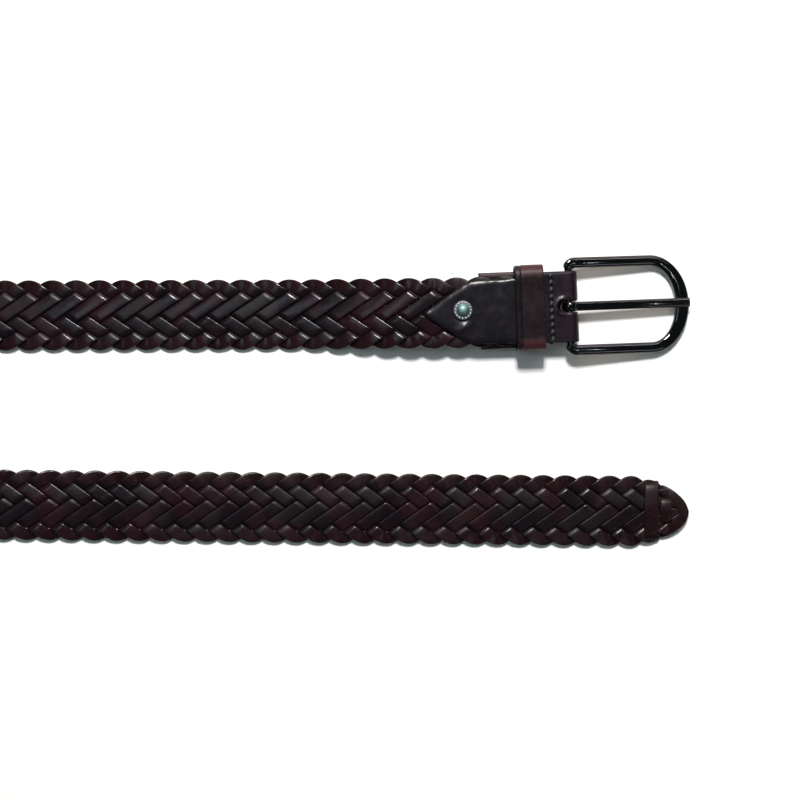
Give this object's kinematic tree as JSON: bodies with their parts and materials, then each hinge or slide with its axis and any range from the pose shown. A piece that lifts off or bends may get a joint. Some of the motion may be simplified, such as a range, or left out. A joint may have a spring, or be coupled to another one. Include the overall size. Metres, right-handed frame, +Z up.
{
  "type": "braided leather belt",
  "caption": "Flat herringbone-braided leather belt with a pointed tab, snap, keeper loop and D-shaped prong buckle, laid in a hairpin.",
  "frame": {"origin": "under the middle of the whole belt's box, on the surface that it lies on", "axes": "+X along the two runs towards the buckle and the tip, +Y from the tip's run towards the buckle's run, +Z up out of the belt's front face"},
  "size_m": [0.5478, 0.1448, 0.0351],
  "materials": {
    "lace_leather": "burnished dark burgundy, satin with redder worn edges",
    "tab_leather": "smooth near-black burgundy, semi-gloss with soft wrinkles",
    "keeper_leather": "smooth dark burgundy, semi-gloss with reddish folded ends",
    "gunmetal": "polished black gunmetal plating",
    "snap_metal": "polished grey-green plating"
  },
  "bodies": {
    "belt": {"braided_strap": "lace_leather", "buckle_tab": "tab_leather", "keeper": "keeper_leather", "snap": "snap_metal"},
    "buckle": {"buckle_frame": "gunmetal"},
    "prong": {"prong": "gunmetal"}
  },
  "joints": [
    {"name": "buckle_swing", "type": "hinge", "parent": "belt", "child": "buckle", "pos_m": [0.21353, 0.04662, 0.0096], "axis": [0.0401, -0.9992, 0], "range_deg": [-75, 40]},
    {"name": "prong_swing", "type": "hinge", "parent": "buckle", "child": "prong", "pos_m": [0.21353, 0.04662, 0.0096], "axis": [0.0401, -0.9992, 0], "range_deg": [0, 85]}
  ]
}
